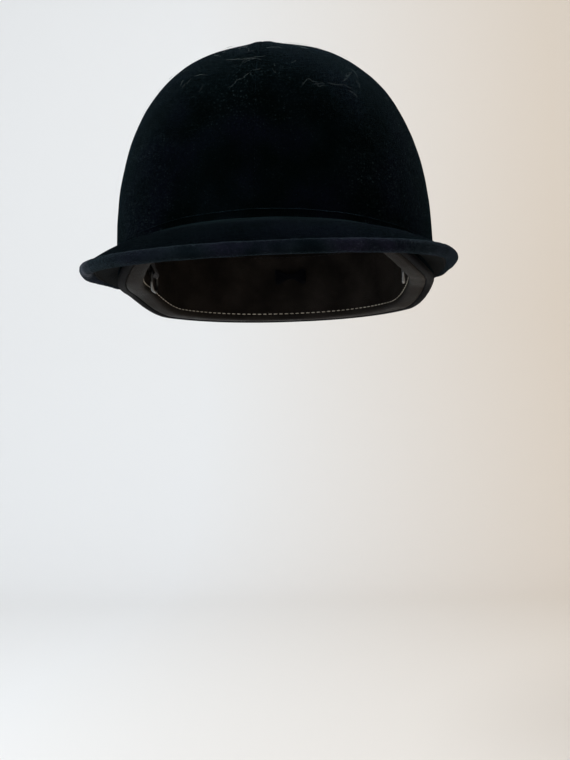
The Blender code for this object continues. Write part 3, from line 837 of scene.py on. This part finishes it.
def make_sweatband():
    """Leather band, rolled at its lower edge and sewn along it."""
    columns = 480
    rows = 26
    rings = []
    for column in range(columns):
        angle = tau * column / columns
        low = edge_height(angle) + 0.0002
        outline = [(0.0051, low + 0.0002), (0.0080, low), (0.0110, low + 0.0001), (0.0134, low + 0.0003)]
        for row in range(rows + 1):
            share = row / rows
            height = lerp(low + 0.0012, SWEATBAND_TOP, share)
            spot = wall_point(angle, height, SWEATBAND_FACE)
            wave = 0.00022 * ripple(spot, 0.022, 2.0) + 0.00016 * ripple(spot, 0.006, 4.0)
            bulge = 0.0004 * bell(share - 0.05, 0.05)
            outline.append((SWEATBAND_FACE + bulge + wave - 0.0001, height))
        outline += [(SWEATBAND_BACK + 0.0007, SWEATBAND_TOP + 0.0004),
                    (SWEATBAND_BACK, SWEATBAND_TOP - 0.0004),
                    (SWEATBAND_BACK, lerp(low + 0.0016, SWEATBAND_TOP, 0.5)),
                    (SWEATBAND_BACK, low + 0.0016), (0.0051, low + 0.0014)]
        rings.append([wall_point(angle, height, depth) for depth, height in outline])
    tube("sweatband_leather", rings, LEATHER, closed=True, uv_size=(0.57, 0.0015),
         slot="sweatband_leather", replaces=("sweatband",))

    for label, rise, thread in (("low", 0.0044, PALE_THREAD), ("high", None, THREAD)):
        path = []
        for step in range(481):
            angle = tau * step / 480
            height = edge_height(angle) + rise if rise else SWEATBAND_TOP - 0.0022
            path.append(wall_point(angle, height, SWEATBAND_FACE + 0.0003))
        normals = [Vector((-point.x, -point.y, 0.0)) for point in path]
        stitches(f"sweatband_stitches_{label}", path, normals, 0.0026, 0.0006, thread,
                 slot="sweatband_leather")


def make_lining():
    """Satin lining, gathered towards the crown, with a blank label sewn in."""

    def place(u, v, side):
        angle = tau * u
        smooth = dome_column(angle, v, LINING_LOW, pi / 2.0, LINING_FACE, 0.08)
        if side == 0:
            return dome_column(angle, v, LINING_LOW, pi / 2.0, LINING_BACK, 0.08)
        pleat = 0.5 + 0.5 * cos(28.0 * angle + 1.3 * ripple(smooth, 0.03))
        gather = ease(smooth.z, 0.050, 0.085) * pleat
        fold = 0.0009 * gather * min(hypot(smooth.x, smooth.y) / 0.02, 1.0)
        soft = 0.0004 * (1.0 + ripple(smooth, 0.018, 3.0)) * ease(smooth.z, 0.048, 0.060)
        return dome_column(angle, v, LINING_LOW, pi / 2.0, LINING_FACE + fold + soft, 0.08)

    pole = [Vector((0.0, 0.0, CROWN_HEIGHT - depth)) for depth in (LINING_BACK, LINING_FACE)]
    skin("lining_satin", place, 336, 70, SATIN, wrap=True, pole=pole, uv_size=(0.5, 0.16),
         slot="satin", replaces=("crown_lining",))

    def label_place(u, v, depth):
        angle = radians(lerp(170.0, 190.0, u))
        return crown_point(angle, radians(lerp(44.0, 55.0, v)), LINING_FACE + depth)

    def label(u, v, side):
        edge = min(u, 1.0 - u, v, 1.0 - v)
        curl = 0.0003 * (1.0 - ease(edge, 0.0, 0.12)) * (side == 0)
        return label_place(u, v, (0.0026, 0.0020)[side] - curl)

    skin("label_blank", label, 40, 26, LABEL, uv_size=(0.026, 0.020), slot="label_cloth",
         replaces=("lining_label",))
    corners = [(0.06, 0.08), (0.94, 0.08), (0.94, 0.92), (0.06, 0.92), (0.06, 0.08)]
    path = [label_place(u, v, 0.0027) for u, v in straight_runs(corners, 12)]
    normals = [Vector((0.0, 0.0, 0.06)) - point for point in path]
    stitches("label_stitches", path, normals, 0.0014, 0.0004, THREAD, slot="label_cloth")


# ---- temple tabs and rings

def make_tab(side_name, side):
    """Cotton tape down the sweatband, round the ring's bar, and sewn back on itself."""
    wall = oval(pi / 2.0, SWEATBAND_FACE)[0]
    inset = RING_PIVOT_INSET
    eye = 0.00195
    route = [(inset - eye, RING_PIVOT_HEIGHT + 0.0185), (inset - eye - 0.0001, RING_PIVOT_HEIGHT + 0.006)]
    for step in range(13):
        turn = pi + pi * step / 12.0
        route.append((inset + eye * cos(turn), RING_PIVOT_HEIGHT + eye * sin(turn)))
    fold = inset - eye + 0.0013
    route += [(fold + 0.0004, RING_PIVOT_HEIGHT + 0.0042), (fold, RING_PIVOT_HEIGHT + 0.0062),
              (fold, RING_PIVOT_HEIGHT + 0.0125)]
    fine = []
    for first, second in zip(route, route[1:]):
        fine += straight_runs([first, second], max(int(math.dist(first, second) / 0.00025), 1))
    fine.append(route[-1])
    path = [Vector((side * (wall - across), 0.0, up)) for across, up in fine]
    ribbon(f"tab_{side_name}", path, NORTH, lambda share: 0.0060,
           0.0009, TAPE, rib=0.00004, pitch=0.0010, across=10, slot="tape",
           replaces=(f"strap_tab_{side_name}",))
    x = side * (wall - fold - 0.0006)
    box = [(-0.0044, 0.0072), (0.0044, 0.0072), (0.0044, 0.0118), (-0.0044, 0.0118)]
    line = [Vector((x, y, RING_PIVOT_HEIGHT + z)) for y, z in straight_runs([*box, box[0], box[2]], 8)]
    stitches(f"tab_stitches_{side_name}", line, [EAST * -side] * len(line), 0.0011, 0.00035,
             THREAD, slot="tape")


def make_ring(side_name, side):
    """Plated wire ring: a straight bar in the tape's fold and a rounded drop below."""
    wall = oval(pi / 2.0, SWEATBAND_FACE)[0]
    pivot = Vector((side * (wall - RING_PIVOT_INSET), 0.0, RING_PIVOT_HEIGHT))
    corner = 0.0025
    half = 0.0080
    drop = 0.0110
    path = []
    for corner_y, corner_z, radius, first in (
            (half, 0.0, corner, 90.0), (half, -drop, corner * 2.0, 0.0),
            (-half, -drop, corner * 2.0, -90.0), (-half, 0.0, corner, -180.0)):
        centre_y = corner_y - math.copysign(radius, corner_y)
        centre_z = corner_z + (radius if corner_z else -radius)
        for step in range(17):
            turn = radians(first - 90.0 * step / 16.0)
            path.append(Vector((0.0, centre_y + radius * cos(turn), centre_z + radius * sin(turn))))
    rings = []
    for index, point in enumerate(path):
        along = (path[(index + 1) % len(path)] - path[index - 1]).normalized()
        out = along.cross(EAST)
        weld = 1.0 + 0.12 * bell(point.y - 0.001, 0.0010) * (point.z > -0.001)
        ring = []
        for step in range(16):
            turn = tau * step / 16
            ring.append(pivot + point + (out * cos(turn) + EAST * sin(turn)) * RING_WIRE * weld)
        rings.append(ring)
    tube(f"ring_wire_{side_name}", rings, STEEL, closed=True, body=f"ring_{side_name}",
         slot="ring_steel", replaces=(f"strap_ring_{side_name}",))


# ---- bows

def arc_path(route, depth_sign=-1.0):
    """Points on the dome's wall for (degrees, height, outward) triples."""
    return [wall_point(radians(angle), height, depth_sign * out) for angle, height, out in route]


def make_back_bow():
    """Flat grosgrain bow at the nape: two folded loops, a knot and two notched tails."""
    for side_name, side in (("left", -1.0), ("right", 1.0)):
        route = []
        count = 220
        for step in range(count + 1):
            share = step / count
            if share < 0.46:
                run = share / 0.46
                angle = lerp(2.9, 14.2, run)
                out = 0.0007 + 0.0003 * sin(pi * run) + 0.0009 * (1.0 - ease(run, 0.3, 0.7))
            elif share < 0.54:
                turn = (share - 0.46) / 0.08 * pi
                angle = 14.2 + 0.75 * sin(turn)
                out = 0.0022 - 0.0015 * cos(turn)
            else:
                run = (share - 0.54) / 0.46
                angle = lerp(14.2, 2.9, run)
                out = 0.0037 + 0.0008 * sin(pi * run) - 0.0011 * ease(run, 0.7, 1.0)
            droop = 0.0006 * sin(pi * share)
            route.append((180.0 + side * angle, BOW_HEIGHT - droop, out))
        path = arc_path(route)

        def half(share):
            reach = 1.0 - abs(2.0 * share - 1.0)
            return lerp(0.0040, 0.0070, ease(reach, 0.0, 0.75))

        ribbon(f"bow_ribbon_{side_name}", path, UP, half, 0.0006,
               GROSGRAIN, rib=0.00006, slot="grosgrain", replaces=(f"bow_loop_{side_name}",))

        path = []
        for step in range(121):
            share = step / 120
            lift = 0.0005 + 0.0006 * sin(pi * share * 1.6) ** 2 + 0.0006 * ease(share, 0.7, 1.0)
            path.append(wall_point(radians(180.0 + side * (4.9 + 3.5 * share)),
                                   BOW_HEIGHT + 0.0028 + 0.0348 * share, -lift))

        ribbon(f"bow_end_{side_name}", path, EAST * side, lambda share: lerp(0.0038, 0.0048, share), 0.0005,
               GROSGRAIN, rib=0.00006, notch=0.0042, slot="grosgrain", replaces=(f"bow_tail_{side_name}",))

    path = []
    for step in range(90):
        turn = tau * step / 90
        up = BOW_HEIGHT + 0.0058 * signed_power(cos(turn), 0.6)
        out = 0.0032 + 0.0026 * signed_power(sin(turn), 0.6)
        path.append(wall_point(pi, up, -out))
    ribbon("bow_wrap", path, EAST, lambda share: 0.0046, 0.0006,
           GROSGRAIN, rib=0.00006, closed=True, slot="grosgrain", replaces=("bow_knot",))


def make_inner_bow():
    """Small flat bow at the back of the sweatband."""
    height = 0.030
    route = []
    for step in range(161):
        share = step / 160
        angle = 180.0 + 6.6 * sin(tau * share)
        out = 0.00195 - 0.0008 * cos(tau * share)
        route.append((angle, height + 0.0006 * sin(2.0 * tau * share), SWEATBAND_FACE + out))
    path = arc_path(route, 1.0)

    def half(share):
        return lerp(0.0017, 0.0046, ease(abs(sin(tau * share)), 0.1, 0.85))

    ribbon("inner_bow", path, UP, half, 0.0004, GROSGRAIN,
           rib=0.00004, pitch=0.0009, slot="grosgrain", replaces=("sweatband_bow",))


# ---- pads

def make_pads():
    """Foam pads, swollen a little against their cover by a short cloth simulation."""
    for name in ("forehead_pad", "temple_pad_left", "temple_pad_right", "rear_side_pad_left",
                 "rear_side_pad_right", "nape_pad", "crown_pad"):
        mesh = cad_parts[name].data.copy()
        pad = add_object(f"foam_{name}", mesh)
        mesh.materials.clear()
        mesh.materials.append(FOAM)
        remesh = pad.modifiers.new("remesh", "REMESH")
        remesh.mode = "VOXEL"
        remesh.voxel_size = 0.0025
        remesh.use_smooth_shade = True
        smooth = pad.modifiers.new("smooth", "SMOOTH")
        smooth.factor = 0.5
        smooth.iterations = 6
        pad.data = evaluated_mesh(pad)
        start = [vertex.co.copy() for vertex in pad.data.vertices]
        swell(pad, start)
        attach(pad, "cap")
        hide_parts(name)


def evaluated_mesh(piece):
    """The mesh that a piece's modifiers make, which are then taken off."""
    graph = bpy.context.evaluated_depsgraph_get()
    mesh = bpy.data.meshes.new_from_object(piece.evaluated_get(graph))
    piece.modifiers.clear()
    return mesh


def swell(pad, start, most=0.0004):
    cloth = pad.modifiers.new("cloth", "CLOTH")
    cloth.settings.use_pressure = True
    cloth.settings.uniform_pressure_force = 4.0
    cloth.settings.effector_weights.gravity = 0.0
    scene = bpy.context.scene
    for step in range(1, 13):
        scene.frame_set(step)
    mesh = evaluated_mesh(pad)
    scene.frame_set(1)
    for vertex, before in zip(mesh.vertices, start):
        move = vertex.co - before
        if move.length > most:
            vertex.co = before + move * (most / move.length)
    pad.data = mesh


# ---- lint

def make_lint():
    """Loose pale fibres, thin and wavy, that lie on the velvet of the crown."""
    draw = random.Random(11)
    points = []
    faces = []
    for fibre in range(70):
        angle = draw.gauss(0.15, 0.8)
        turn = radians(draw.uniform(34.0, 76.0))
        heading = draw.gauss(-0.3, 0.9)
        length = draw.uniform(0.003, 0.026) * draw.uniform(0.4, 1.0)
        wave = draw.uniform(0.5, 1.6)
        seed = draw.uniform(0.0, 90.0)
        radius = draw.uniform(0.000016, 0.000030)
        steps = max(int(length / 0.0006), 6)
        stride = length / steps
        start = len(points)
        for step in range(steps + 1):
            lift = 0.0007 + 0.0002 * sin(pi * step / steps)
            point = crown_point(angle, turn, -lift)
            east = (crown_point(angle + 0.01, turn, 0.0) - crown_point(angle, turn, 0.0)).normalized()
            north = (crown_point(angle, turn + 0.01, 0.0) - crown_point(angle, turn, 0.0)).normalized()
            out = east.cross(north)
            direction = heading + wave * 1.8 * ripple((step * stride, seed, 0.0), 0.004, seed)
            along = east * cos(direction) + north * sin(direction)
            side = along.cross(out)
            for corner in range(4):
                spin = tau * corner / 4
                points.append(point + (side * cos(spin) + out * sin(spin)) * radius)
            angle += stride * cos(direction) / max(hypot(point.x, point.y), 0.01)
            turn = min(turn + stride * sin(direction) / 0.10, radians(82.0))
        faces += tube_faces(steps + 1, 4, False, start)
    finish_piece("lint_fibres", points, faces, None, LINT, slot="velvet")


# ---- studio

FLOOR_DROP = 0.32              # the cap hangs this far above the floor, as in the view asked for
STAGE_HALF_WIDTH = 4.0
WALL_FOOT = 1.1
WALL_CURVE = 0.5


def make_stage():
    """Pale floor that curves up into a wall, wide enough to fill every view."""
    profile = [(-STAGE_HALF_WIDTH, 0.0), (WALL_FOOT, 0.0)]
    for step in range(1, 13):
        turn = pi / 2.0 * step / 12
        profile.append((WALL_FOOT + WALL_CURVE * sin(turn), WALL_CURVE * (1.0 - cos(turn))))
    profile.append((WALL_FOOT + WALL_CURVE, 3.5))
    points = [(x, y, z - FLOOR_DROP) for x in (-STAGE_HALF_WIDTH, STAGE_HALF_WIDTH) for y, z in profile]
    count = len(profile)
    faces = [(i, i + count, i + count + 1, i + 1) for i in range(count - 1)]
    mesh = bpy.data.meshes.new("studio_floor")
    mesh.from_pydata(points, [], faces)
    for polygon in mesh.polygons:
        polygon.use_smooth = True
    floor = add_object("studio_floor", mesh)
    material, tree, shader = new_material("studio_paper", 0.9, specular=0.1)
    # The paper is painted darker and warmer towards +X: painted shade and warm light on one paper.
    where = add_node(tree, "SeparateXYZ", {"Vector": coordinates(tree, "Object")})
    share = spread(tree, where.outputs[0], -0.3, 0.40)
    paper_with_painted_light = mixed(tree, share, (0.83, 0.825, 0.82), (0.76, 0.67, 0.575))
    tree.links.new(paper_with_painted_light, shader.inputs["Base Color"])
    mesh.materials.append(material)


def add_light(name, place, target, size, power, colour):
    light = bpy.data.lights.new(name, "AREA")
    light.shape = "DISK"
    light.size = size
    light.energy = power
    light.color = colour
    item = add_object(name, light)
    item.location = place
    item.rotation_euler = (Vector(target) - Vector(place)).to_track_quat("-Z", "Y").to_euler()


def make_studio():
    middle = (0.0, 0.0, 0.08)
    add_light("key_light", (-1.1, -1.0, 1.0), middle, 0.9, 26.0, (0.86, 0.94, 1.0))
    add_light("fill_light", (1.3, -0.9, 0.4), middle, 1.4, 6.0, (1.0, 0.95, 0.88))
    add_light("front_light", (-0.3, -1.6, 0.1), middle, 0.8, 5.0, (0.94, 0.97, 1.0))
    add_light("top_light", (0.0, 0.5, 1.6), middle, 1.2, 6.0, (1.0, 1.0, 1.0))
    world = bpy.data.worlds.new("studio_air")
    bpy.context.scene.world = world
    world.use_nodes = True
    air = world.node_tree.nodes["Background"]
    air.inputs["Color"].default_value = (0.93, 0.96, 1.0, 1.0)
    air.inputs["Strength"].default_value = 0.55
    bpy.context.scene.view_settings.view_transform = "Standard"


CAMERA_DISTANCE = 0.722
LENS_MM = 54.47


def direction_from(turn, rise):
    """Unit vector that points to -Y at a turn of 0, turned towards +X and raised."""
    return Vector((sin(turn) * cos(rise), -cos(turn) * cos(rise), sin(rise)))


def make_camera():
    """Camera in front of the cap and below it, tilted a little, with the cap high in its view."""
    target = Vector((0.0, CAP_CENTRE_Y, 0.085))
    away = direction_from(radians(5.41), radians(-14.21))
    forward = -direction_from(radians(5.17), radians(-3.6))
    roll = radians(-1.53)
    right = forward.cross(UP).normalized()
    up = right.cross(forward)
    tilted_right = right * cos(roll) + up * sin(roll)
    tilted_up = up * cos(roll) - right * sin(roll)
    lens = bpy.data.cameras.new("camera")
    lens.sensor_fit = "VERTICAL"
    lens.sensor_height = 36.0
    lens.lens = LENS_MM
    camera = add_object("camera", lens)
    turn = Matrix((tilted_right, tilted_up, -forward)).transposed().to_4x4()
    camera.matrix_world = Matrix.Translation(target + away * CAMERA_DISTANCE) @ turn
    bpy.context.scene.camera = camera


def dress_shell():
    """The shell inside the cap keeps its frame shape and gets its own material."""
    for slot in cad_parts["shell"].material_slots:
        slot.material = LAMINATE


make_camera()
make_stage()
make_studio()
make_cover()
make_button()
make_base_band()
make_peak_sheets()
make_rim()
make_underside_stitches()
make_edge_binding()
make_sweatband()
make_lining()
for side_name, side in (("left", 1.0), ("right", -1.0)):
    make_tab(side_name, side)
    make_ring(side_name, side)
make_back_bow()
make_inner_bow()
make_pads()
make_lint()
dress_shell()
